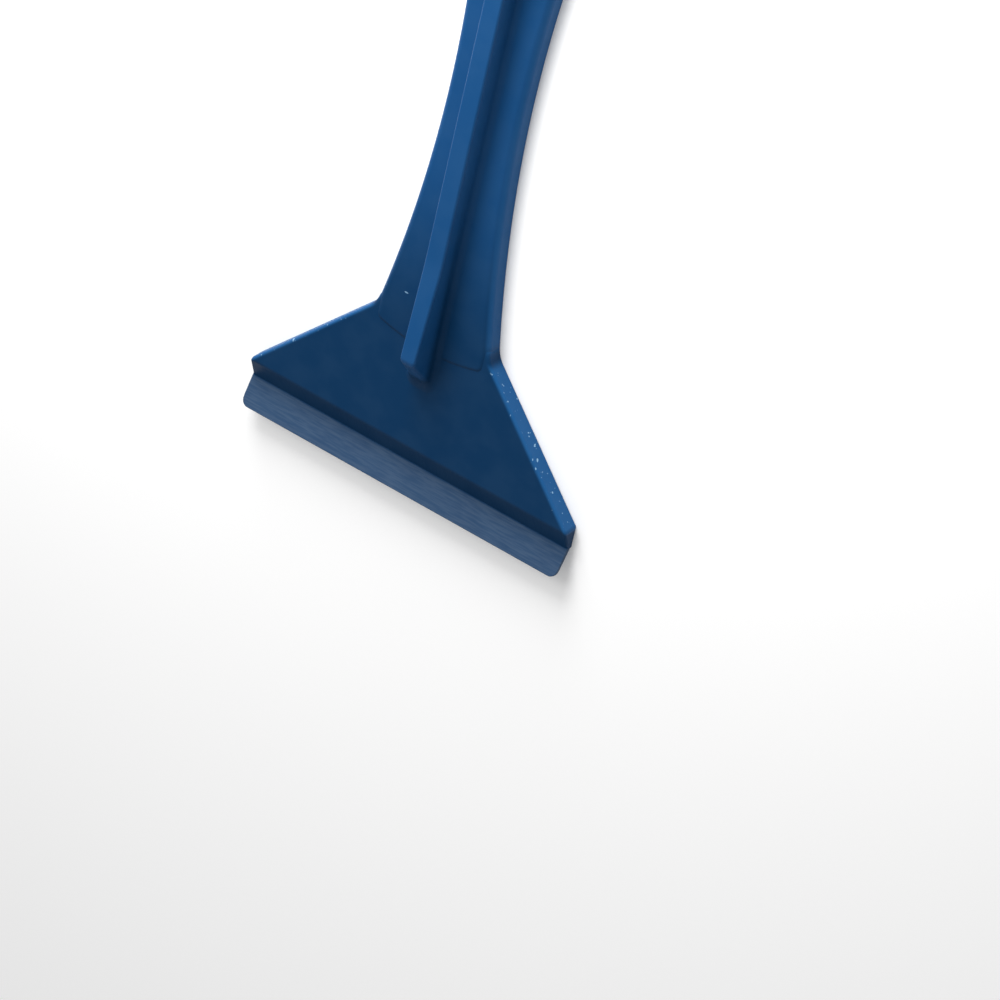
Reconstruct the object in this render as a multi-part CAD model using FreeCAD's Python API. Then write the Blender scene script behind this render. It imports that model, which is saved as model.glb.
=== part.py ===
import FreeCAD, Part
import math
import os

# A wide-blade spudger for lifting glued batteries. The real tool is one plastic moulding, so these
# solids are its named regions: they meet face to face and never overlap.
# Millimetres, +Z up. The tool lies on its flat back, with its ribbed front facing +Z. X runs across
# the blade, and Y along the handle, with the wide blade at -Y. The origin is the centre of the
# bottom face of the tool's bounding box.
#
# Stations along the handle are first counted from the head's front lower edge, where its flat front
# ends and the bevel starts. CENTRE_Y moves them to the origin at export.

# --- Head and wide blade ---
BLADE_WIDTH = 46.5
PLATE_THICKNESS = 2.5
TAPER_LENGTH = 16.0         # from the front lower edge up to the shoulder
SHOULDER_RADIUS = 4.0       # the hollow corner where the head meets the handle
PLATE_FRONT_RADIUS = 0.5
PLATE_BACK_RADIUS = 0.2
BEVEL_LENGTH = 2.8
BEVEL_DEPTH = 1.5
LIP_LENGTH = 4.0
LIP_TILT = 22.0             # degrees that the lip leans forward from the plate's plane
LIP_ROOT_THICKNESS = 0.7
LIP_TIP_THICKNESS = 0.35
LIP_CORNER_RADIUS = 1.0

# --- Handle ---
HANDLE_LENGTH = 65.8        # between the two shoulders
HANDLE_END_WIDTH = 16.4
HANDLE_WAIST_WIDTH = 10.3
WEB_STEP = 0.15             # the web's front stands this far above the plates' fronts
WEB_FRONT_RADIUS = 1.0
WEB_BACK_RADIUS = 0.2
NECK_DEPTH = 3.1            # how far the web's ends run on over the plates
NECK_CORNER_RADIUS = 4.2

# --- Rib ---
RIB_HEIGHT = 3.25           # above the plates' fronts, along the handle
RIB_NOSE_HEIGHT = 4.4       # the same at each nose, where the rib stands highest
RIB_CREST_LENGTH = 14.0     # the length over which the crest climbs to a nose
RIB_ROOT_WIDTH = 2.9
RIB_SIDE_DRAFT = 3.5        # degrees that each side leans in
RIB_EDGE_RADIUS = 0.45
RIB_TOE_REACH = 7.25        # from the shoulder to the foot of the rib's sloping nose
RIB_NOSE_LENGTH = 4.6       # from that foot to the nose's top, along the handle

# --- Narrow blade, at the handle's other end ---
NARROW_WIDTH = 18.0
NARROW_FLARE_LENGTH = 3.0
NARROW_FLARE_RADIUS = 6.0
NARROW_PLATE_LENGTH = 11.35
NARROW_BEVEL_LENGTH = 4.0
NARROW_BLADE_LENGTH = 4.45
NARROW_ROOT_THICKNESS = 0.9
NARROW_TIP_THICKNESS = 0.4
NARROW_CORNER_RADIUS = 3.0

# --- Worked out from the above ---
SHOULDER_Y = TAPER_LENGTH
FAR_SHOULDER_Y = SHOULDER_Y + HANDLE_LENGTH
NARROW_BEVEL_Y = FAR_SHOULDER_Y + NARROW_PLATE_LENGTH
NARROW_ROOT_Y = NARROW_BEVEL_Y + NARROW_BEVEL_LENGTH
NARROW_TIP_Y = NARROW_ROOT_Y + NARROW_BLADE_LENGTH
WEB_TOP_Z = PLATE_THICKNESS + WEB_STEP
RIB_TOP_Z = PLATE_THICKNESS + RIB_HEIGHT
RIB_NOSE_Z = PLATE_THICKNESS + RIB_NOSE_HEIGHT
SIDE_SAG = (HANDLE_END_WIDTH - HANDLE_WAIST_WIDTH) / 2
SIDE_RADIUS = ((HANDLE_LENGTH / 2) ** 2 + SIDE_SAG ** 2) / (2 * SIDE_SAG)
SIDE_SLOPE = (HANDLE_LENGTH / 2) / (SIDE_RADIUS - SIDE_SAG)    # sideways per length, at a shoulder
STUB_LENGTH = 1.6           # how far each plate runs up inside the handle's outline
TOUCH = 0.01                # slack when an edge is looked up by its place

# The lip's side view: its front starts at the bevel's foot and leans forward.
TILT = math.radians(LIP_TILT)
FOOT = (-BEVEL_LENGTH, PLATE_THICKNESS - BEVEL_DEPTH)
LIP_TIP_FRONT = (FOOT[0] - LIP_LENGTH * math.cos(TILT), FOOT[1] + LIP_LENGTH * math.sin(TILT))


def behind(point, thickness):
    """The point of the lip's back that lies square behind a point of its front."""
    return (point[0] - thickness * math.sin(TILT), point[1] - thickness * math.cos(TILT))


LIP_TIP_BACK = behind(LIP_TIP_FRONT, LIP_TIP_THICKNESS)
LIP_ROOT_BACK = behind(FOOT, LIP_ROOT_THICKNESS)
BACK_SLOPE = (LIP_ROOT_BACK[0] - LIP_TIP_BACK[0]) / (LIP_TIP_BACK[1] - LIP_ROOT_BACK[1])
BACK_BEND = (LIP_ROOT_BACK[0] + LIP_ROOT_BACK[1] * BACK_SLOPE, 0.0)
CENTRE_Y = (LIP_TIP_BACK[0] + NARROW_TIP_Y) / 2


def side_prism(profile, width):
    """A solid of constant side view (y, z), centred across X."""
    corners = [FreeCAD.Vector(-width / 2, y, z) for y, z in profile]
    face = Part.Face(Part.makePolygon(corners + corners[:1]))
    return face.extrude(FreeCAD.Vector(width, 0, 0))


def plan_prism(right_side, height):
    """A plate that stands on Z = 0, from its plan outline's right side, low y to high y."""
    left_side = [(-x, y) for x, y in reversed(right_side)]
    corners = [FreeCAD.Vector(x, y, 0) for x, y in right_side + left_side]
    face = Part.Face(Part.makePolygon(corners + corners[:1]))
    return face.extrude(FreeCAD.Vector(0, 0, height))


def upright_edges(shape, y):
    """The vertical edges at one station along the handle."""
    found = []
    for edge in shape.Edges:
        box = edge.BoundBox
        if box.XLength < TOUCH and box.YLength < TOUCH and abs(box.YMin - y) < TOUCH:
            found.append(edge)
    return found


def rim_edges(shape, z):
    """The edges at one height, without those that run straight across X."""
    found = []
    for edge in shape.Edges:
        box = edge.BoundBox
        if box.ZLength < TOUCH and box.YLength > TOUCH and abs(box.ZMin - z) < TOUCH:
            found.append(edge)
    return found


def outer_edges(shape, z):
    """All the edges at one height."""
    level = [edge for edge in shape.Edges if edge.BoundBox.ZLength < TOUCH]
    return [edge for edge in level if abs(edge.BoundBox.ZMin - z) < TOUCH]


def rounded_plate(plate):
    """A plate with its front and back side edges rounded."""
    plate = plate.makeFillet(PLATE_FRONT_RADIUS, rim_edges(plate, PLATE_THICKNESS))
    return plate.makeFillet(PLATE_BACK_RADIUS, rim_edges(plate, 0))


def head_plate():
    """The fish-tail plate between the bevel and the handle."""
    neck = HANDLE_END_WIDTH / 2
    plate = plan_prism([
        (BLADE_WIDTH / 2, 0),
        (neck, SHOULDER_Y),
        (neck - SIDE_SLOPE * STUB_LENGTH, SHOULDER_Y + STUB_LENGTH),
    ], PLATE_THICKNESS)
    plate = plate.makeFillet(SHOULDER_RADIUS, upright_edges(plate, SHOULDER_Y))
    return rounded_plate(plate)


def wide_bevel():
    """The bar along the head's lower edge, whose front slopes back to the lip."""
    return side_prism([(0, 0), (0, PLATE_THICKNESS), FOOT, LIP_ROOT_BACK, BACK_BEND], BLADE_WIDTH)


def wide_blade():
    """The thin lip that slides under a battery, with its edge's corners rounded."""
    lip = side_prism([FOOT, LIP_TIP_FRONT, LIP_TIP_BACK, LIP_ROOT_BACK], BLADE_WIDTH)
    corners = []
    for edge in lip.Edges:
        box = edge.BoundBox
        if box.XLength < TOUCH and box.YMax < LIP_TIP_FRONT[0] + TOUCH:
            corners.append(edge)
    return lip.makeFillet(LIP_CORNER_RADIUS, corners)


def handle_web(plates):
    """The waisted web, whose round-cornered ends run on over the plates."""
    middle_y = (SHOULDER_Y + FAR_SHOULDER_Y) / 2
    low_y = SHOULDER_Y - NECK_DEPTH
    high_y = FAR_SHOULDER_Y + NECK_DEPTH
    waist = HANDLE_WAIST_WIDTH / 2
    end = waist + SIDE_RADIUS - math.sqrt(SIDE_RADIUS ** 2 - (high_y - middle_y) ** 2)
    right = Part.Arc(
        FreeCAD.Vector(end, low_y, 0),
        FreeCAD.Vector(waist, middle_y, 0),
        FreeCAD.Vector(end, high_y, 0),
    ).toShape()
    left = Part.Arc(
        FreeCAD.Vector(-end, high_y, 0),
        FreeCAD.Vector(-waist, middle_y, 0),
        FreeCAD.Vector(-end, low_y, 0),
    ).toShape()
    top = Part.makeLine(FreeCAD.Vector(end, high_y, 0), FreeCAD.Vector(-end, high_y, 0))
    bottom = Part.makeLine(FreeCAD.Vector(-end, low_y, 0), FreeCAD.Vector(end, low_y, 0))
    outline = Part.Wire([right, top, left, bottom])
    web = Part.Face(outline).extrude(FreeCAD.Vector(0, 0, WEB_TOP_Z))
    web = web.makeFillet(NECK_CORNER_RADIUS, upright_edges(web, low_y) + upright_edges(web, high_y))
    web = web.makeFillet(WEB_FRONT_RADIUS, outer_edges(web, WEB_TOP_Z))
    web = web.makeFillet(WEB_BACK_RADIUS, outer_edges(web, 0))
    return web.cut(plates)


def rib_side():
    """The rib's side view: a ramp up each nose, and a crest that dips to the handle's height."""
    foot = SHOULDER_Y - RIB_TOE_REACH
    near = [
        (foot, PLATE_THICKNESS),
        (foot + RIB_NOSE_LENGTH, RIB_NOSE_Z),
        (foot + RIB_NOSE_LENGTH + RIB_CREST_LENGTH, RIB_TOP_Z),
    ]
    far = [(SHOULDER_Y + FAR_SHOULDER_Y - y, z) for y, z in reversed(near)]
    return near + far


def nose_edges(rib):
    """The edges round each nose's ramp: its two slanting sides and its top."""
    found = []
    for edge in rib.Edges:
        box = edge.BoundBox
        slanting = box.ZLength > RIB_NOSE_HEIGHT - TOUCH
        if slanting or box.ZMin > RIB_NOSE_Z - TOUCH:
            found.append(edge)
    return found


def front_rib(web):
    """The middle rib: its side view, cut to sides that lean in, with its noses' edges rounded."""
    profile = rib_side()
    rib = side_prism(profile, RIB_ROOT_WIDTH)
    lean = RIB_NOSE_HEIGHT * math.tan(math.radians(RIB_SIDE_DRAFT))
    half = RIB_ROOT_WIDTH / 2
    section = [
        (-half, PLATE_THICKNESS),
        (half, PLATE_THICKNESS),
        (half - lean, RIB_NOSE_Z),
        (lean - half, RIB_NOSE_Z),
    ]
    start_y, end_y = profile[0][0], profile[-1][0]
    corners = [FreeCAD.Vector(x, start_y, z) for x, z in section]
    sides = Part.Face(Part.makePolygon(corners + corners[:1])).extrude(FreeCAD.Vector(0, end_y - start_y, 0))
    rib = rib.common(sides)
    rib = rib.makeFillet(RIB_EDGE_RADIUS, nose_edges(rib))
    return rib.cut(web)


def narrow_plate():
    """The plate that carries the second, narrower blade."""
    neck = HANDLE_END_WIDTH / 2
    half = NARROW_WIDTH / 2
    flare_y = FAR_SHOULDER_Y + NARROW_FLARE_LENGTH
    plate = plan_prism([
        (neck - SIDE_SLOPE * STUB_LENGTH, FAR_SHOULDER_Y - STUB_LENGTH),
        (half, flare_y),
        (half, NARROW_BEVEL_Y),
    ], PLATE_THICKNESS)
    plate = plate.makeFillet(NARROW_FLARE_RADIUS, upright_edges(plate, flare_y))
    return rounded_plate(plate)


def narrow_bevel():
    """The wedge that thins the plate to the narrow blade."""
    profile = [
        (NARROW_BEVEL_Y, 0),
        (NARROW_ROOT_Y, 0),
        (NARROW_ROOT_Y, NARROW_ROOT_THICKNESS),
        (NARROW_BEVEL_Y, PLATE_THICKNESS),
    ]
    return side_prism(profile, NARROW_WIDTH)


def narrow_blade():
    """The flat chisel edge, with rounded corners."""
    profile = [
        (NARROW_ROOT_Y, 0),
        (NARROW_TIP_Y, 0),
        (NARROW_TIP_Y, NARROW_TIP_THICKNESS),
        (NARROW_ROOT_Y, NARROW_ROOT_THICKNESS),
    ]
    blade = side_prism(profile, NARROW_WIDTH)
    return blade.makeFillet(NARROW_CORNER_RADIUS, upright_edges(blade, NARROW_TIP_Y))


def build():
    """Every node's solid, with its station still counted from the head's front lower edge."""
    nodes = {
        "head_plate": head_plate(),
        "wide_bevel": wide_bevel(),
        "wide_blade": wide_blade(),
        "narrow_plate": narrow_plate(),
        "narrow_bevel": narrow_bevel(),
        "narrow_blade": narrow_blade(),
    }
    nodes["handle_web"] = handle_web([nodes["head_plate"], nodes["narrow_plate"]])
    nodes["front_rib"] = front_rib(nodes["handle_web"])
    return nodes


os.makedirs("parts", exist_ok=True)
for name, shape in build().items():
    shape.translate(FreeCAD.Vector(0, -CENTRE_Y, 0))
    box = shape.optimalBoundingBox()
    print(
        f"{name:13s} solids {len(shape.Solids)} valid {shape.isValid()} volume {shape.Volume:7.1f}  "
        f"x {box.XMin:6.2f} {box.XMax:5.2f}  y {box.YMin:6.2f} {box.YMax:6.2f}  z {box.ZMin:5.2f} {box.ZMax:4.2f}"
    )
    shape.exportStep(f"parts/{name}.step")
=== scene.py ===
# %% [markdown]
# # A wide-blade spudger
# This tool pries glued batteries out of phones and tablets. It is one moulding of dark blue plastic: a
# fish-tail head with a thin lip, a waisted handle with a rib down its front, and a narrow chisel end.
# The tool lies on its flat back. X runs across the blades and Y along the handle. The wide blade is
# at -Y, and the ribbed front faces +Z. All lengths are in metres, and MM turns millimetres into them.
#
# A moulding could be made as one mesh. It is made here as six pieces that meet where the real tool
# has a crease, so that each one stays a simple form which a beginner can follow. All six share one
# plastic, whose pattern is fixed in the tool's own space, so the joins don't show.

# %% Load the frame
import math

import bpy
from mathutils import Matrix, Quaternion, Vector


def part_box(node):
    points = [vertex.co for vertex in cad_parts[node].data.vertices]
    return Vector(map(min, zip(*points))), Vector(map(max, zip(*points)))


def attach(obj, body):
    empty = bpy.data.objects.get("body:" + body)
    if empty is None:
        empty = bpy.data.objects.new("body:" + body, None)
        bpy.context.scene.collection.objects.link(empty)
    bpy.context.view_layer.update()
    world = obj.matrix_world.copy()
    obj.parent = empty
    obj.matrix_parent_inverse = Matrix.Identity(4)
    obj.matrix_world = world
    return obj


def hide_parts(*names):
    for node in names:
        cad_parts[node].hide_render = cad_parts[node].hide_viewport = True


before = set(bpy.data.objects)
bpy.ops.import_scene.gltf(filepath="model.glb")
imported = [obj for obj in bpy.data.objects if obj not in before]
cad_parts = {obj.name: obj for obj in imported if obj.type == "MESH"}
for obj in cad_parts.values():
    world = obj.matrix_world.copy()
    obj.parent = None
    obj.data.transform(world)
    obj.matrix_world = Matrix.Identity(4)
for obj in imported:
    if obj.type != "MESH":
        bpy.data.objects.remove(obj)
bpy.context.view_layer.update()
MM = 0.001
print("nodes:", sorted(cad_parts))

# %% [markdown]
# ## Where things are
# The design already says where each region lies, so the pieces take their places from its boxes. Only
# the sizes that a box can't give, such as a radius, are written down as numbers.

# %% Stations along the handle
head_low, head_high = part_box("head_plate")
web_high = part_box("handle_web")[1]
rib_low, rib_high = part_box("front_rib")
bevel_low, bevel_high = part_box("narrow_bevel")
tip_low, tip_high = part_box("narrow_blade")

BLADE_HALF = head_high[0]           # half of the wide blade's width
LOWER_EDGE_Y = head_low[1]          # where the head's flat front ends and its bevel starts
PLATE_TOP = head_high[2]
WEB_TOP = web_high[2]
TAPER_LENGTH = 16.0 * MM
HANDLE_LENGTH = 65.8 * MM           # from shoulder to shoulder
SHOULDER_Y = LOWER_EDGE_Y + TAPER_LENGTH
MIDDLE_Y = SHOULDER_Y + HANDLE_LENGTH / 2
print("shoulders at", round(SHOULDER_Y / MM, 2), "and", round((2 * MIDDLE_Y - SHOULDER_Y) / MM, 2))

# %% [markdown]
# ## The handle's side
# Each side of the handle is one long arc, drawn in from the shoulders to a waist. Three sizes give
# the arc: its length, its width at the ends and its width at the waist. Working its radius out once
# lets every piece that touches the side agree about where it is.

# %% The side's arc
SHOULDER_HALF = 8.2 * MM
WAIST_HALF = 5.15 * MM
side_sag = SHOULDER_HALF - WAIST_HALF
SIDE_RADIUS = ((HANDLE_LENGTH / 2) ** 2 + side_sag ** 2) / (2 * side_sag)
SIDE_CENTRE_X = WAIST_HALF + SIDE_RADIUS


def side_x(y):
    """How far the handle's side is from the middle, at one station."""
    return SIDE_CENTRE_X - math.sqrt(SIDE_RADIUS ** 2 - (y - MIDDLE_Y) ** 2)


def side_lean(y):
    """The angle by which the side leans outwards there, towards the nearer blade."""
    return math.asin(abs(y - MIDDLE_Y) / SIDE_RADIUS)


print("side radius", round(SIDE_RADIUS / MM, 1), "mm, half width at the waist", side_x(MIDDLE_Y) / MM)

# %% [markdown]
# ## Drawing an outline
# Outlines are drawn as a person draws with a compass and a ruler. One vertex is put down, extruded
# along each straight, and spun round each arc's centre. Only the right half is drawn. A Mirror
# modifier makes the other half, so both sides are exactly alike.

# %% Pen helpers
pen = [0.0, 0.0]


def start_outline(name, x, y):
    """Puts down the first vertex of a new outline."""
    bpy.ops.object.select_all(action="DESELECT")
    bpy.ops.mesh.primitive_plane_add(size=MM, location=(x, y, 0))
    bpy.context.object.name = name
    bpy.ops.object.mode_set(mode="EDIT")
    bpy.ops.mesh.merge(type="CENTER")
    pen[:] = [x, y]


def line_to(x, y, steps=1):
    """Extrudes the outline's end in a straight line."""
    move = ((x - pen[0]) / steps, (y - pen[1]) / steps, 0)
    for _ in range(steps):
        bpy.ops.mesh.extrude_region_move(TRANSFORM_OT_translate={"value": move})
    pen[:] = [x, y]


def turn(centre, degrees, steps):
    """Spins the outline's end about a centre. Positive degrees turn to the left."""
    bpy.ops.mesh.spin(
        steps=steps, angle=-math.radians(degrees), center=(centre[0], centre[1], 0), axis=(0, 0, 1)
    )
    x, y = pen[0] - centre[0], pen[1] - centre[1]
    cos, sin = math.cos(math.radians(degrees)), math.sin(math.radians(degrees))
    pen[:] = [centre[0] + x * cos - y * sin, centre[1] + x * sin + y * cos]


def close_outline():
    """Mirrors the half outline and fills it with one face."""
    bpy.ops.object.mode_set(mode="OBJECT")
    piece = bpy.context.object
    bpy.ops.object.transform_apply(location=True, rotation=True, scale=True)
    mirror = piece.modifiers.new("Mirror", "MIRROR")
    mirror.merge_threshold = 0.001 * MM
    bpy.ops.object.modifier_apply(modifier=mirror.name)
    bpy.ops.object.mode_set(mode="EDIT")
    bpy.ops.mesh.select_all(action="SELECT")
    bpy.ops.mesh.edge_face_add()
    return piece


print("pen ready at", pen)

# %% [markdown]
# Most pieces are then pulled up from their outline to a thickness, and their edges are picked by
# where they lie. These helpers do the picking. They work on the mesh in object mode, because a
# selection that is set there carries over into edit mode.

# %% Picking and pulling helpers
TOUCH = 0.005 * MM


def pull_up(thickness):
    """Extrudes the filled outline straight up."""
    bpy.ops.mesh.extrude_region_move(TRANSFORM_OT_translate={"value": (0, 0, thickness)})
    bpy.ops.mesh.select_all(action="SELECT")
    bpy.ops.mesh.normals_make_consistent(inside=False)
    bpy.ops.mesh.select_all(action="DESELECT")


def pick(kind, test):
    """Selects the vertices, edges or faces that pass a test, and returns how many do."""
    bpy.ops.mesh.select_mode(type={"vertices": "VERT", "edges": "EDGE", "polygons": "FACE"}[kind])
    bpy.ops.mesh.select_all(action="DESELECT")
    bpy.ops.object.mode_set(mode="OBJECT")
    mesh = bpy.context.object.data
    chosen = [item for item in getattr(mesh, kind) if test(item, mesh)]
    for item in chosen:
        item.select = True
    bpy.ops.object.mode_set(mode="EDIT")
    return len(chosen)


def ends(edge, mesh):
    """An edge's two end points."""
    return [mesh.vertices[index].co for index in edge.vertices]


def on_middle(edge, mesh):
    """True if the whole edge lies on the tool's middle plane."""
    return all(abs(point.x) < TOUCH for point in ends(edge, mesh))


def at_level(edge, mesh, z):
    """True if the whole edge lies at one height."""
    return all(abs(point.z - z) < TOUCH for point in ends(edge, mesh))


def move(x=0, y=0, z=0):
    """Moves what is selected."""
    bpy.ops.transform.translate(value=(x, y, z))


print("two points count as touching within", TOUCH / MM, "mm")

# %% [markdown]
# ## Rounded edges
# A mould has no knife-sharp edges. Each edge's rounding is written on it as a bevel weight, and one
# Bevel modifier then rounds them all in a single pass, which makes clean corners where edges of
# different radius meet. A Weighted Normal modifier keeps the big flats looking flat.

# %% Rounding helpers
FULL_ROUND = 1.0 * MM               # the radius that a bevel weight of 1 stands for
SMOOTH_ANGLE = 35                   # degrees; sharper edges than this stay sharp


def weigh_edges(radius_of):
    """Writes each edge's rounding radius on it as a bevel weight."""
    bpy.ops.object.mode_set(mode="OBJECT")
    mesh = bpy.context.object.data
    weights = mesh.attributes.new("bevel_weight_edge", "FLOAT", "EDGE")
    for edge in mesh.edges:
        weights.data[edge.index].value = radius_of(edge, mesh) / FULL_ROUND


def round_edges(segments):
    """Rounds the weighted edges."""
    piece = bpy.context.object
    bevel = piece.modifiers.new("Rounding", "BEVEL")
    bevel.limit_method = "WEIGHT"
    bevel.width = FULL_ROUND
    bevel.segments = segments
    bevel.use_clamp_overlap = False
    bevel.loop_slide = False        # keeps every width even
    bpy.ops.object.modifier_apply(modifier=bevel.name)


def finish_shading():
    """Smooths the rounded edges, and keeps the flats flat."""
    piece = bpy.context.object
    bpy.ops.object.shade_smooth_by_angle(angle=math.radians(SMOOTH_ANGLE))
    weighted = piece.modifiers.new("Flats", "WEIGHTED_NORMAL")
    weighted.keep_sharp = True
    bpy.ops.object.modifier_apply(modifier=weighted.name)
    sizes = [round(size / MM, 2) for size in piece.dimensions]
    print(piece.name, len(piece.data.polygons), "faces, mm", sizes)


print("a full bevel weight rounds by", FULL_ROUND / MM, "mm")

# %% [markdown]
# ## The neck line
# The handle's web is slightly thicker than the head, and it ends over the head in a rounded U. Its
# soft step shows as a fine line between the two shoulders. The web is drawn along that U, and the
# head runs on under it as a short tongue. The tongue draws in from the handle's sides, so that it is
# hidden in the web, and the rounded edges of the two pieces melt into each other.

# %% The neck line's sizes
NECK_DEPTH = 3.15 * MM              # from the shoulders down to the web's lowest point
NECK_SWEEP_RADIUS = 26.0 * MM       # the U's shallow floor
NECK_CORNER = 1.3 * MM
SHOULDER_HOLLOW = 4.0 * MM
TONGUE_LENGTH = 2.5 * MM
TONGUE_INSET = 1.0 * MM
TAPER_LEAN = math.atan2(BLADE_HALF - SHOULDER_HALF, TAPER_LENGTH)
shoulder_turn = TAPER_LEAN - side_lean(SHOULDER_Y)
hollow_reach = SHOULDER_HOLLOW * math.tan(shoulder_turn / 2)
NECK_TOP_Y = SHOULDER_Y + hollow_reach * math.cos(side_lean(SHOULDER_Y))
NECK_LOW_Y = SHOULDER_Y - NECK_DEPTH
neck_half = side_x(NECK_TOP_Y)
corner_x = neck_half - NECK_CORNER
floor_sweep = math.asin(corner_x / (NECK_SWEEP_RADIUS - NECK_CORNER))
corner_y = NECK_LOW_Y + NECK_SWEEP_RADIUS - (NECK_SWEEP_RADIUS - NECK_CORNER) * math.cos(floor_sweep)
tongue_y = NECK_TOP_Y + TONGUE_LENGTH
tongue_x = side_x(tongue_y) - TONGUE_INSET


def other_end(y):
    """The same station counted from the handle's other end."""
    return 2 * MIDDLE_Y - y


print("the U's floor rises", round((corner_y - NECK_CORNER - NECK_LOW_Y) / MM, 2), "mm towards its corners")

# %% [markdown]
# On the flat back the pieces meet in a straight line across the handle. Two faces in the same plane
# would flicker where they overlap, so each piece is cut off with a slope there, as a carpenter cuts a
# scarf joint: one cut leans under the other piece, the other leans over it.

# %% The scarf cut
def scarf_cut(y, towards, rise):
    """Cuts away the piece's underside beyond a station, along a plane that climbs from the back."""
    bpy.ops.object.mode_set(mode="EDIT")
    bpy.ops.mesh.select_all(action="SELECT")
    bpy.ops.mesh.bisect(
        plane_co=(0, y, 0), plane_no=(0, -towards * rise, 1), use_fill=True, clear_inner=True
    )
    bpy.ops.object.mode_set(mode="OBJECT")


print("scarf cuts fall at", round(NECK_TOP_Y / MM, 2), "and", round(other_end(NECK_TOP_Y) / MM, 2), "mm")

# %% [markdown]
# ## The handle's web
# The web is the flat, waisted part that the hand holds. Its front edges are well rounded, to sit
# softly in the fingers, and its back edges are nearly square.

# %% Model the web
WEB_FRONT_ROUND = 0.9 * MM
BACK_ROUND = 0.2 * MM
SCARF_RISE = 0.35                   # the slope of the scarf cuts

floor_degrees = math.degrees(floor_sweep)
start_outline("handle_web_skin", 0, NECK_LOW_Y)
turn((0, NECK_LOW_Y + NECK_SWEEP_RADIUS), floor_degrees, 12)
turn((corner_x, corner_y), 90 - floor_degrees, 8)
line_to(neck_half, NECK_TOP_Y)
half_side = math.degrees(math.asin((MIDDLE_Y - NECK_TOP_Y) / SIDE_RADIUS))
turn((SIDE_CENTRE_X, MIDDLE_Y), -2 * half_side, 64)
line_to(neck_half, other_end(corner_y))
turn((corner_x, other_end(corner_y)), 90 - floor_degrees, 8)
turn((0, other_end(NECK_LOW_Y + NECK_SWEEP_RADIUS)), floor_degrees, 12)
web = close_outline()
pull_up(WEB_TOP)


def web_rounding(edge, mesh):
    """The web's rounding radius at one edge."""
    if at_level(edge, mesh, 0):
        return BACK_ROUND
    return WEB_FRONT_ROUND if at_level(edge, mesh, WEB_TOP) else 0


weigh_edges(web_rounding)
round_edges(6)
scarf_cut(NECK_TOP_Y, -1, SCARF_RISE)
scarf_cut(other_end(NECK_TOP_Y), 1, SCARF_RISE)
finish_shading()

# %% [markdown]
# ## The wide head
# The head spreads like a fish's tail from the neck to the blade. After its flat plate is pulled up,
# its lower end is extruded once more and that new end's front edge is dropped, which makes the
# bevel that leads down to the lip.

# %% Model the head and its bevel
HEAD_FRONT_ROUND = 0.5 * MM
END_ROUND = 0.3 * MM                # round the blade's end faces
CREASE_ROUND = 0.25 * MM            # between the flat front and the bevel
BEVEL_LENGTH = 2.8 * MM
BEVEL_DROP = 1.5 * MM
BACK_BEND = 2.92 * MM               # how far beyond the lower edge the back stays flat

start_outline("wide_head_skin", 0, tongue_y)
line_to(tongue_x, tongue_y)
line_to(side_x(NECK_TOP_Y), NECK_TOP_Y)
lean = side_lean(SHOULDER_Y)
hollow_centre = (pen[0] + SHOULDER_HOLLOW * math.cos(lean), pen[1] + SHOULDER_HOLLOW * math.sin(lean))
turn(hollow_centre, math.degrees(shoulder_turn), 6)
line_to(BLADE_HALF, LOWER_EDGE_Y)
line_to(0, LOWER_EDGE_Y)
head = close_outline()
pull_up(PLATE_TOP)

pick("polygons", lambda face, mesh: abs(face.center.y - LOWER_EDGE_Y) < TOUCH)
bpy.ops.mesh.extrude_region_move(TRANSFORM_OT_translate={"value": (0, -BEVEL_LENGTH, 0)})
end_y = LOWER_EDGE_Y - BEVEL_LENGTH
pick("vertices", lambda point, mesh: abs(point.co.y - end_y) < TOUCH and point.co.z > TOUCH)
move(z=-BEVEL_DROP)
pick("vertices", lambda point, mesh: abs(point.co.y - end_y) < TOUCH and point.co.z < TOUCH)
move(y=BEVEL_LENGTH - BACK_BEND)


def head_rounding(edge, mesh):
    """The head's rounding radius at one edge."""
    a, b = ends(edge, mesh)
    across = abs(a.y - b.y) < TOUCH and max(a.y, b.y) < LOWER_EDGE_Y + TOUCH
    if at_level(edge, mesh, 0):
        return 0 if across or on_middle(edge, mesh) else BACK_ROUND
    if at_level(edge, mesh, PLATE_TOP):
        return CREASE_ROUND if across else HEAD_FRONT_ROUND
    on_end = min(abs(a.x), abs(b.x)) > BLADE_HALF - TOUCH
    return END_ROUND if on_end and max(a.y, b.y) > LOWER_EDGE_Y - TOUCH else 0


weigh_edges(head_rounding)
round_edges(5)
scarf_cut(NECK_TOP_Y, 1, SCARF_RISE)
finish_shading()

# %% [markdown]
# ## The narrow end
# The handle's other end flares a little and carries a narrow chisel blade, for the gaps that the wide
# blade can't enter. Its form is an assumption, since such tools end in several ways. Its plate ends
# in a wedge, made by the same extrude-and-drop as the wide bevel.

# %% Model the narrow head
FLARE_REACH = 3.0 * MM              # from the shoulder to where the sides run straight
FLARE_ROUND = 6.0 * MM
NARROW_ROUND = 0.4 * MM
NARROW_HALF = tip_high[0]
WEDGE_DROP = bevel_high[2] - tip_high[2]
flare_y = other_end(SHOULDER_Y) + FLARE_REACH
flare_lean = math.atan2(NARROW_HALF - SHOULDER_HALF, FLARE_REACH)
flare_tangent = FLARE_ROUND * math.tan(flare_lean / 2)

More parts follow.
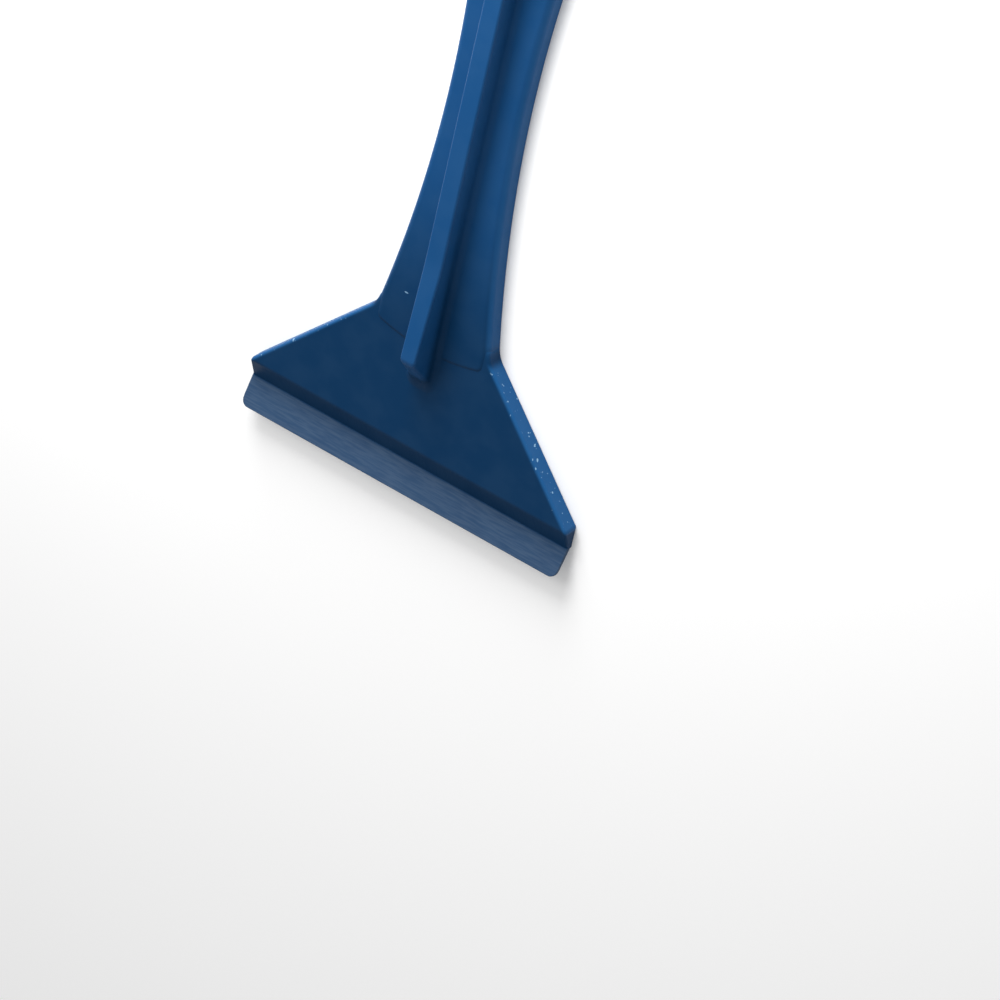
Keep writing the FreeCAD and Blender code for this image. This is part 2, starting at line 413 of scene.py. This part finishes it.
start_outline("narrow_head_skin", 0, other_end(tongue_y))
line_to(tongue_x, other_end(tongue_y))
line_to(side_x(NECK_TOP_Y), other_end(NECK_TOP_Y))
line_to(NARROW_HALF - flare_tangent * math.sin(flare_lean), flare_y - flare_tangent * math.cos(flare_lean))
turn((NARROW_HALF - FLARE_ROUND, flare_y + flare_tangent), math.degrees(flare_lean), 6)
line_to(NARROW_HALF, bevel_low[1])
line_to(0, bevel_low[1])
narrow_head = close_outline()
pull_up(PLATE_TOP)

pick("polygons", lambda face, mesh: abs(face.center.y - bevel_low[1]) < TOUCH)
wedge_length = bevel_high[1] - bevel_low[1]
bpy.ops.mesh.extrude_region_move(TRANSFORM_OT_translate={"value": (0, wedge_length, 0)})
pick("vertices", lambda point, mesh: abs(point.co.y - bevel_high[1]) < TOUCH and point.co.z > TOUCH)
move(z=-WEDGE_DROP)


def narrow_rounding(edge, mesh):
    """The narrow head's rounding radius at one edge."""
    a, b = ends(edge, mesh)
    across = abs(a.y - b.y) < TOUCH and min(a.y, b.y) > bevel_low[1] - TOUCH
    if at_level(edge, mesh, 0):
        return 0 if across or on_middle(edge, mesh) else BACK_ROUND
    if at_level(edge, mesh, PLATE_TOP):
        return NARROW_ROUND
    sloping = min(abs(a.x), abs(b.x)) > NARROW_HALF - TOUCH and abs(a.y - b.y) > TOUCH
    return NARROW_ROUND if sloping else 0


weigh_edges(narrow_rounding)
round_edges(4)
scarf_cut(other_end(NECK_TOP_Y), -1, SCARF_RISE)
finish_shading()

# %% [markdown]
# The chisel's blade is drawn with round corners and pulled up to its thicker end. A bisect with a
# sloping plane then takes off all that stands above the slope, as a file would.

# %% Model the narrow blade
TIP_CORNER = 3.0 * MM
TIP_EDGE = 0.4 * MM
TIP_ROUND = 0.1 * MM
STEEP = 0.3 * MM                    # an edge that climbs more than this counts as upright

start_outline("narrow_blade_skin", 0, tip_low[1])
line_to(NARROW_HALF, tip_low[1])
line_to(NARROW_HALF, tip_high[1] - TIP_CORNER)
turn((NARROW_HALF - TIP_CORNER, tip_high[1] - TIP_CORNER), 90, 12)
line_to(0, tip_high[1])
narrow_blade = close_outline()
pull_up(tip_high[2])
slope = (tip_high[2] - TIP_EDGE) / (tip_high[1] - tip_low[1])
bpy.ops.mesh.select_all(action="SELECT")
bpy.ops.mesh.bisect(
    plane_co=(0, tip_low[1], tip_high[2]), plane_no=(0, slope, 1), use_fill=True, clear_outer=True
)


def tip_rounding(edge, mesh):
    """The narrow blade's rounding radius: small all round its free edge."""
    a, b = ends(edge, mesh)
    free = all(point.y > tip_low[1] + TOUCH or abs(point.x) > NARROW_HALF - TOUCH for point in (a, b))
    upright = abs(a.z - b.z) > STEEP
    return TIP_ROUND if free and not upright else 0


weigh_edges(tip_rounding)
round_edges(3)
finish_shading()

# %% [markdown]
# ## The rib
# The rib stiffens the handle and gives the fingers a ridge to push on. Its outline is a long bar with
# rounded corners, drawn as wide as the soft hollow that every moulded rib has at its root. The
# outline is pulled up out of the web, then inset and raised again and again. The first insets climb
# the hollow, the next one is the rib's wall, and the last ones round its top.

# %% Model the rib
ROOT_HOLLOW = 0.7 * MM
RIB_TOP_Z = PLATE_TOP + 3.25 * MM   # along the handle, where the rib is lowest
RIB_TOP_HALF = 1.25 * MM
RIB_TOP_ROUND = 0.3 * MM
NOSE_CORNER = 0.8 * MM
ROUND_STEPS = 6
STEP_START = NECK_LOW_Y + 0.4 * MM  # where the web's rounded end comes out of the head
STEP_END = NECK_LOW_Y + WEB_FRONT_ROUND
SKIRT_DEPTH = 0.4 * MM              # how far the outline starts below the web's front
FOOT_GAP = 0.004 * MM               # keeps the hollow's foot from lying in the web's front
NOSE_MARGIN = 0.5 * MM
foot_z = WEB_TOP + FOOT_GAP
foot_half = rib_high[0]
skirt_half = foot_half + ROOT_HOLLOW
skirt_corner = NOSE_CORNER + ROOT_HOLLOW
nose_y = rib_low[1] - ROOT_HOLLOW
nose_centre_y = nose_y + skirt_corner
nose_end_y = nose_centre_y + NOSE_MARGIN   # just past the last vertex of the nose's corners

start_outline("front_rib_skin", 0, nose_y)
line_to(skirt_half - skirt_corner, nose_y)
turn((skirt_half - skirt_corner, nose_centre_y), 90, 8)
line_to(skirt_half, STEP_START)
line_to(skirt_half, STEP_END)
line_to(skirt_half, other_end(STEP_END), 40)
line_to(skirt_half, other_end(STEP_START))
line_to(skirt_half, other_end(nose_centre_y))
turn((skirt_half - skirt_corner, other_end(nose_centre_y)), 90, 8)
line_to(0, other_end(nose_y))
rib = close_outline()
move(z=foot_z - SKIRT_DEPTH)
bpy.ops.mesh.extrude_region_move(TRANSFORM_OT_translate={"value": (0, 0, SKIRT_DEPTH)})
levels = [foot_z]


def ring(inset, rise):
    """Insets the selected top face and raises it, which adds one ring of faces."""
    bpy.ops.mesh.inset(thickness=inset, use_boundary=True, use_even_offset=True)
    move(z=rise)
    levels.append(levels[-1] + rise)


angles = [math.pi / 2 * step / ROUND_STEPS for step in range(ROUND_STEPS + 1)]
for before, after in zip(angles, angles[1:]):
    inset = ROOT_HOLLOW * (math.sin(after) - math.sin(before))
    ring(inset, ROOT_HOLLOW * (math.cos(before) - math.cos(after)))
ring(foot_half - RIB_TOP_HALF, RIB_TOP_Z - RIB_TOP_ROUND - levels[-1])
for before, after in zip(angles, angles[1:]):
    inset = RIB_TOP_ROUND * (math.cos(before) - math.cos(after))
    ring(inset, RIB_TOP_ROUND * (math.sin(after) - math.sin(before)))
bpy.ops.mesh.select_all(action="SELECT")
bpy.ops.mesh.normals_make_consistent(inside=False)
print("rib rings:", len(levels), "from", round(levels[0] / MM, 2), "to", round(levels[-1] / MM, 2), "mm")

# %% [markdown]
# Each nose is a ramp. Every ring of it is slid inwards along the handle by its share of the rib's
# height, and the two rows beside it slide a little too, to keep the rows in order. Beyond the neck
# line the hollow's rings are let down by the neck's step, so that the rib grows out of the head.

# %% Lean the noses
NOSE_SLIDE = 4.5 * MM
ROW_SLIDE = 1.5 * MM


def on_level(point, level):
    """True for a vertex that lies on one ring."""
    return abs(point.co.z - level) < 0.001 * MM


def pick_nose(level, y, inwards):
    """Selects one ring's vertices that lie past a station, as counted from either end."""
    station = y if inwards > 0 else other_end(y)

    def chosen(point, mesh):
        return on_level(point, level) and inwards * (point.co.y - station) < TOUCH

    pick("vertices", chosen)


for number, level in enumerate(levels):
    share = (level - foot_z) / (RIB_TOP_Z - foot_z)
    slid = ROW_SLIDE * share
    lowered = max(0, 1 - number / ROUND_STEPS) * (PLATE_TOP - WEB_TOP)
    for inwards in (1, -1):
        pick_nose(level, STEP_END, inwards)
        move(y=inwards * slid)
        pick_nose(level, nose_end_y + slid, inwards)
        move(y=inwards * (NOSE_SLIDE * share - slid))
        pick_nose(level, STEP_START + slid, inwards)
        move(z=lowered)
print("the noses' tops slide in by", round(NOSE_SLIDE / MM, 2), "mm")

# %% [markdown]
# The rib stands highest at its noses, where the bending load is greatest. Its crest is lifted row by
# row, and each row's lift grows in a straight line towards the nearer nose. The long top face is
# first cut across at every row, so that it can follow the lift without a twist.

# %% Lift the crest towards the noses
CREST_LENGTH = 14.0 * MM
NOSE_LIFT = rib_high[2] - RIB_TOP_Z
NOSE_NARROWING = 0.16               # the share of its width that the crest loses
crest_start = nose_y + NOSE_SLIDE   # where the crest meets the nose's ramp
hollow_top = levels[ROUND_STEPS]


def lift(y):
    """How far the crest is lifted at one station."""
    from_nose = min(y, other_end(y)) - crest_start
    return NOSE_LIFT * min(1, max(0, 1 - from_nose / CREST_LENGTH))


def stations_above(z):
    """The stations, in hundredths of a millimetre, of the rib's vertices above a height."""
    bpy.ops.object.mode_set(mode="OBJECT")
    found = sorted({round(point.co.y / MM, 2) for point in rib.data.vertices if point.co.z > z})
    bpy.ops.object.mode_set(mode="EDIT")
    return found


def pick_row(station, z):
    """Selects the rib's vertices at one station, above a height."""
    return pick("vertices", lambda point, mesh: point.co.z > z and round(point.co.y / MM, 2) == station)


for station in stations_above(RIB_TOP_Z - TOUCH)[1:-1]:
    if pick_row(station, RIB_TOP_Z - TOUCH) == 2:
        bpy.ops.mesh.vert_connect()
for station in stations_above(hollow_top + TOUCH):
    if lift(station * MM) > 0:
        pick_row(station, hollow_top + TOUCH)
        move(z=lift(station * MM))
        narrowing = 1 - NOSE_NARROWING * lift(station * MM) / NOSE_LIFT
        bpy.ops.transform.resize(value=(narrowing, 1, 1))
bpy.ops.object.mode_set(mode="OBJECT")
finish_shading()

# %% [markdown]
# ## The lip
# The lip is the thin edge that slides under a battery. It leans forward from the bevel's foot. It
# is made flat from a cube: the far end's back edge is raised to thin it, its corners are rounded,
# and the whole is turned about the foot. Its root is sunk into the bevel, so that no gap shows.

# %% Model the lip
LIP_LENGTH = 4.0 * MM
LIP_ROOT = 0.7 * MM
LIP_TIP = 0.35 * MM
LIP_TILT = 22.0
LIP_CORNER = 1.0 * MM
SUNK = 0.5 * MM
LIP_ROUND = 0.08 * MM
SHORT_RUN = 0.3 * MM                # an edge that runs back less than this counts as upright
CLEAR = 0.03 * MM                   # keeps the lip's ends off the bevel's ends
foot_y, foot_height = LOWER_EDGE_Y - BEVEL_LENGTH, PLATE_TOP - BEVEL_DROP

bpy.ops.object.select_all(action="DESELECT")
lip_middle = (0, foot_y + (SUNK - LIP_LENGTH) / 2, foot_height - LIP_ROOT / 2)
bpy.ops.mesh.primitive_cube_add(size=1, location=lip_middle)
lip = bpy.context.object
lip.name = "wide_lip_skin"
lip.scale = (2 * (BLADE_HALF - CLEAR), LIP_LENGTH + SUNK, LIP_ROOT)
bpy.ops.object.transform_apply(location=True, rotation=True, scale=True)
bpy.ops.object.mode_set(mode="EDIT")
lip_end = foot_y - LIP_LENGTH
pick("vertices", lambda point, mesh: point.co.y < lip_end + TOUCH and point.co.z < foot_height - TOUCH)
move(z=LIP_ROOT - LIP_TIP)


def is_lip_corner(edge, mesh):
    """True for the two short upright edges at the lip's free corners."""
    a, b = ends(edge, mesh)
    return abs(a.x - b.x) < TOUCH and max(a.y, b.y) < lip_end + TOUCH


pick("edges", is_lip_corner)
bpy.ops.mesh.bevel(offset=LIP_CORNER, segments=8, affect="EDGES")
bpy.ops.mesh.select_all(action="SELECT")
bpy.ops.transform.rotate(
    value=math.radians(LIP_TILT), orient_axis="X", center_override=(0, foot_y, foot_height)
)


def lip_rounding(edge, mesh):
    """The lip's rounding radius: small on every edge but those sunk in the bevel."""
    a, b = ends(edge, mesh)
    upright = abs(a.x - b.x) < TOUCH and abs(a.y - b.y) < SHORT_RUN
    return 0 if upright or max(a.y, b.y) > foot_y + TOUCH else LIP_ROUND


weigh_edges(lip_rounding)
round_edges(3)
finish_shading()
low = min(point.co.z for point in lip.data.vertices)
high = max(point.co.z for point in lip.data.vertices)
print("lip from", round(low / MM, 2), "to", round(high / MM, 2), "mm above the bench")

# %% [markdown]
# ## The plastic
# The plastic is taken as nylon dyed a deep blue, with a fine satin grain from the mould. A material
# is a chain of nodes, and a few small functions that each add one node keep that chain readable.

# %% Node helpers
def add(nodes, kind, **inputs):
    """Adds a node and sets its input sockets by name."""
    node = nodes.new(kind)
    for name, value in inputs.items():
        node.inputs[name.replace("_", " ")].default_value = value
    return node


def ramp(tree, source, low, high, start=0.0, end=1.0):
    """A smooth step of a number, from start at low to end at high."""
    node = tree.nodes.new("ShaderNodeMapRange")
    node.interpolation_type = "SMOOTHSTEP"
    for name, value in (("From Min", low), ("From Max", high), ("To Min", start), ("To Max", end)):
        node.inputs[name].default_value = value
    tree.links.new(source, node.inputs["Value"])
    return node.outputs["Result"]


def combine(tree, operation, first, second):
    """One sum, product, maximum or other Math step on two numbers."""
    node = tree.nodes.new("ShaderNodeMath")
    node.operation = operation
    for socket, value in zip(node.inputs, (first, second)):
        if isinstance(value, (int, float)):
            socket.default_value = value
        else:
            tree.links.new(value, socket)
    return node.outputs[0]


def blend(tree, share, first, second):
    """Mixes two colours by a share."""
    node = tree.nodes.new("ShaderNodeMix")
    node.data_type = "RGBA"
    tree.links.new(share, node.inputs["Factor"])
    for socket, value in ((node.inputs[6], first), (node.inputs[7], second)):
        if isinstance(value, tuple):
            socket.default_value = (*value, 1)
        else:
            tree.links.new(value, socket)
    return node.outputs[2]


def noise(tree, place, scale, detail=2.0, stretch=(1, 1, 1)):
    """A noise pattern whose scale is its count per millimetre."""
    mapping = tree.nodes.new("ShaderNodeMapping")
    mapping.inputs["Scale"].default_value = stretch
    tree.links.new(place, mapping.inputs["Vector"])
    node = add(tree.nodes, "ShaderNodeTexNoise", Scale=scale, Detail=detail)
    tree.links.new(mapping.outputs["Vector"], node.inputs["Vector"])
    return node.outputs["Fac"]


print("node helpers: add, ramp, combine, blend, noise")

# %% [markdown]
# The rib and the grip's middle are lighter than the head: partly burnished by handling, and partly
# painted light that stands in for the stronger light falling on them. The outer edges carry a painted
# sheen, lighter where their side walls catch light, and the lip is painted paler in streaks, a painted
# reflection of the sky above it. The head's edges have a few pale nicks. The pattern is worked out from
# the object's own coordinates in millimetres, so it runs across the joins between the pieces without a
# break. An image could be painted instead, but a pattern stays sharp up close.

# %% Make the blue nylon
HEAD_BLUE = (0.0018, 0.0255, 0.0755)
# Partly painted light: the lighter blue of the rib and grip is partly burnish and partly painted light.
BURNISHED_AND_LIT_BLUE = (0.0075, 0.060, 0.176)
# Painted reflection: a paler, greyer blue for the lip, where it faces the sky above.
LIP_SHEEN_BLUE = (0.038, 0.070, 0.128)
# Painted sheen: a lighter blue for the outer edges, where their side walls catch light.
EDGE_SHEEN_BLUE = (0.012, 0.085, 0.235)
WORN_BLUE = (0.200, 0.360, 0.520)
EDGE_SHEEN_SHARE = 0.85                    # how far the edges' painted sheen goes towards its own blue
NICK_AT = (-4.35, -28.1)            # millimetres
NICK_SIZE = (0.32, 0.11)            # half its length and half its width


def make_nylon():
    """The dyed nylon that every piece is made of."""
    nylon = bpy.data.materials.new("blue_nylon")
    nylon.use_nodes = True
    tree = nylon.node_tree
    shader = tree.nodes["Principled BSDF"]
    place = tree.nodes.new("ShaderNodeTexCoord").outputs["Object"]
    in_mm = tree.nodes.new("ShaderNodeMapping")
    in_mm.inputs["Scale"].default_value = (1 / MM, 1 / MM, 1 / MM)
    tree.links.new(place, in_mm.inputs["Vector"])
    place = in_mm.outputs["Vector"]
    split = tree.nodes.new("ShaderNodeSeparateXYZ")
    tree.links.new(place, split.inputs["Vector"])
    x, y, z = split.outputs

    # The lighter parts, partly burnished and partly painted light: the rib's upper half, and the grip's
    # middle.
    proud = ramp(tree, z, WEB_TOP / MM + 0.3, WEB_TOP / MM + 2.0)
    from_middle = combine(tree, "ABSOLUTE", combine(tree, "SUBTRACT", y, MIDDLE_Y / MM), 0)
    grip = ramp(tree, from_middle, 36, 8, 0.1, 0.95)
    burnish_and_light = combine(tree, "MAXIMUM", proud, grip)
    blue = blend(tree, burnish_and_light, HEAD_BLUE, BURNISHED_AND_LIT_BLUE)

    # The outer edges, with a painted sheen where their side walls catch light: the head's slanted sides and
    # the handle's long arcs.
    across = combine(tree, "ABSOLUTE", x, 0)
    beyond_end = combine(tree, "SUBTRACT", across, BLADE_HALF / MM)
    beyond_end = combine(tree, "MULTIPLY", beyond_end, math.cos(TAPER_LEAN))
    above_end = combine(tree, "SUBTRACT", y, LOWER_EDGE_Y / MM)
    above_end = combine(tree, "MULTIPLY", above_end, math.sin(TAPER_LEAN))
    head_edge = ramp(tree, combine(tree, "ADD", beyond_end, above_end), -0.45, -0.05)
    head_edge = combine(tree, "MULTIPLY", head_edge, ramp(tree, y, SHOULDER_Y / MM, SHOULDER_Y / MM - 1))
    reach = combine(tree, "POWER", combine(tree, "SUBTRACT", SIDE_CENTRE_X / MM, across), 2)
    run = combine(tree, "POWER", from_middle, 2)
    from_centre = combine(tree, "SQRT", combine(tree, "ADD", reach, run), 0)
    from_side = combine(tree, "SUBTRACT", from_centre, SIDE_RADIUS / MM)
    on_handle = ramp(tree, from_middle, (MIDDLE_Y - SHOULDER_Y) / MM, (MIDDLE_Y - NECK_TOP_Y) / MM - 1)
    handle_edge_sheen = combine(tree, "MULTIPLY", ramp(tree, from_side, 0.6, 0.05), on_handle)
    # This mask carries the painted sheen of the outer edges.
    edge = combine(tree, "MAXIMUM", head_edge, handle_edge_sheen)
    blue = blend(tree, combine(tree, "MULTIPLY", edge, EDGE_SHEEN_SHARE), blue, EDGE_SHEEN_BLUE)

    # Pale nicks along the head's edges, and one on the web beside the rib.
    chips = ramp(tree, noise(tree, place, 1.7, 2.0), 0.66, 0.70)
    blue = blend(tree, combine(tree, "MULTIPLY", chips, head_edge), blue, WORN_BLUE)
    nick_x = combine(tree, "DIVIDE", combine(tree, "SUBTRACT", x, NICK_AT[0]), NICK_SIZE[0])
    nick_y = combine(tree, "DIVIDE", combine(tree, "SUBTRACT", y, NICK_AT[1]), NICK_SIZE[1])
    nick = combine(tree, "ADD", combine(tree, "POWER", nick_x, 2), combine(tree, "POWER", nick_y, 2))
    blue = blend(tree, ramp(tree, nick, 1.0, 0.3, 0.0, 0.8), blue, WORN_BLUE)

    # The lip, painted paler in streaks along its edge: a painted reflection of the sky above it.
    on_lip = ramp(tree, y, foot_y / MM + 0.02, foot_y / MM - 0.25)
    streaks = ramp(tree, noise(tree, place, 1.6, 3.0, (0.25, 3.0, 1.0)), 0.3, 0.7, 0.55, 1.0)
    lip_sheen = combine(tree, "MULTIPLY", on_lip, streaks)
    blue = blend(tree, lip_sheen, blue, LIP_SHEEN_BLUE)

    # The dye's slight unevenness, in soft patches a few millimetres across.
    patches = ramp(tree, noise(tree, place, 0.28, 2.0), 0.3, 0.7, 0.0, 0.015)
    blue = blend(tree, patches, blue, WORN_BLUE)
    tree.links.new(blue, shader.inputs["Base Color"])

    grain = noise(tree, place, 7.0, 2.0)
    rub = noise(tree, place, 0.9, 3.0, (3.0, 0.4, 1.0))
    rubbed = ramp(tree, rub, 0.3, 0.75, 0.36, 0.46)
    roughness = combine(tree, "ADD", rubbed, ramp(tree, grain, 0.3, 0.7, 0.0, 0.05))
    tree.links.new(roughness, shader.inputs["Roughness"])
    shader.inputs["IOR"].default_value = 1.5
    shader.inputs["Specular IOR Level"].default_value = 0.07

    bump = add(tree.nodes, "ShaderNodeBump", Strength=0.35, Distance=0.006 * MM)
    tree.links.new(grain, bump.inputs["Height"])
    tree.links.new(bump.outputs["Normal"], shader.inputs["Normal"])
    return nylon


nylon = make_nylon()
print("nylon nodes:", len(nylon.node_tree.nodes))

# %% [markdown]
# ## Hand the pieces over
# Each piece stands for the regions of the design that it replaces, rides on the tool's one body, and
# takes the blue nylon as its material.

# %% Join the pieces to the frame
STANDS_FOR = {
    web: ["handle_web"],
    head: ["head_plate", "wide_bevel"],
    narrow_head: ["narrow_plate", "narrow_bevel"],
    narrow_blade: ["narrow_blade"],
    rib: ["front_rib"],
    lip: ["wide_blade"],
}
for piece, nodes in STANDS_FOR.items():
    piece.data.materials.clear()
    piece.data.materials.append(nylon)
    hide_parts(*nodes)
    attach(piece, "root")
print("pieces:", [piece.name for piece in STANDS_FOR])

# %% [markdown]
# ## The studio
# The floor is a plain pale sheet. The main light is a wide soft panel beyond the handle's end, low
# over the bench, so it rakes down the tool and fades towards the head. A pale sky fills the rest,
# and the floor glows faintly, as a lit table does, which lifts the tool's side walls.

# %% Floor, lights and sky
FLOOR_GREY = 0.85
FLOOR_GLOW = 0.14
SKY_STRENGTH = 0.46

bpy.ops.object.select_all(action="DESELECT")
bpy.ops.mesh.primitive_plane_add(size=3, location=(0, 0, -0.01 * MM))
floor = bpy.context.object
floor.name = "studio_floor"
pale = bpy.data.materials.new("pale_floor")
pale.use_nodes = True
matt = pale.node_tree.nodes["Principled BSDF"]
matt.inputs["Base Color"].default_value = (FLOOR_GREY, FLOOR_GREY, FLOOR_GREY, 1)
matt.inputs["Roughness"].default_value = 0.9
matt.inputs["Emission Color"].default_value = (1, 1, 1, 1)
matt.inputs["Emission Strength"].default_value = FLOOR_GLOW
floor.data.materials.append(pale)


def panel(name, place, aim, size, power):
    """A square soft light at a place, turned to face its aim."""
    light = bpy.data.lights.new(name, "AREA")
    light.size = size
    light.energy = power
    lamp = bpy.data.objects.new(name, light)
    bpy.context.collection.objects.link(lamp)
    lamp.location = place
    lamp.rotation_euler = (Vector(aim) - Vector(place)).to_track_quat("-Z", "Y").to_euler()
    return lamp


panel("key_panel", (-0.05, 0.16, 0.075), (0, -0.03, 0), 0.12, 0.66)
panel("top_panel", (-0.13, 0.17, 0.24), (0, -0.02, 0), 0.22, 0.50)
sky = bpy.data.worlds.new("pale_sky")
sky.use_nodes = True
sky.node_tree.nodes["Background"].inputs["Color"].default_value = (1, 1, 1, 1)
sky.node_tree.nodes["Background"].inputs["Strength"].default_value = SKY_STRENGTH
bpy.context.scene.world = sky
bpy.context.scene.view_settings.view_transform = "Standard"

# %% [markdown]
# ## The camera
# The tool is seen from its front right, from beyond the handle's end, through a long lens that keeps
# its lines almost parallel. The camera is rolled so that the wide blade points down the picture, as
# when the tool is held in use, and the handle runs out at the top.

# %% Set the camera
AIM = (13.88 * MM, -47.73 * MM, 2.5 * MM)
DISTANCE = 936.9 * MM
AZIMUTH = 143.88                    # degrees round from looking along +Y, towards looking along -X
ELEVATION = 48.19
ROLL = -122.29                      # degrees that the camera is turned about its own line of sight
LENS = 288                          # millimetres, on a 36 mm sensor

azimuth, elevation = math.radians(AZIMUTH), math.radians(ELEVATION)
back = Vector((
    math.sin(azimuth) * math.cos(elevation),
    -math.cos(azimuth) * math.cos(elevation),
    math.sin(elevation),
))
upright = back.to_track_quat("Z", "Y")
rolled = upright @ Quaternion((0, 0, 1), math.radians(ROLL))
lens = bpy.data.cameras.new("view_camera")
lens.lens = LENS
lens.clip_start, lens.clip_end = 0.01, 10
camera = bpy.data.objects.new("view_camera", lens)
camera.rotation_mode = "QUATERNION"
camera.rotation_quaternion = rolled
camera.location = Vector(AIM) + back * DISTANCE
bpy.context.collection.objects.link(camera)
bpy.context.scene.camera = camera
print("camera at", [round(value, 4) for value in camera.location])

# %% [markdown]
# ## The last step
# The view layer is brought up to date.

# %% Update the view layer
bpy.context.view_layer.update()
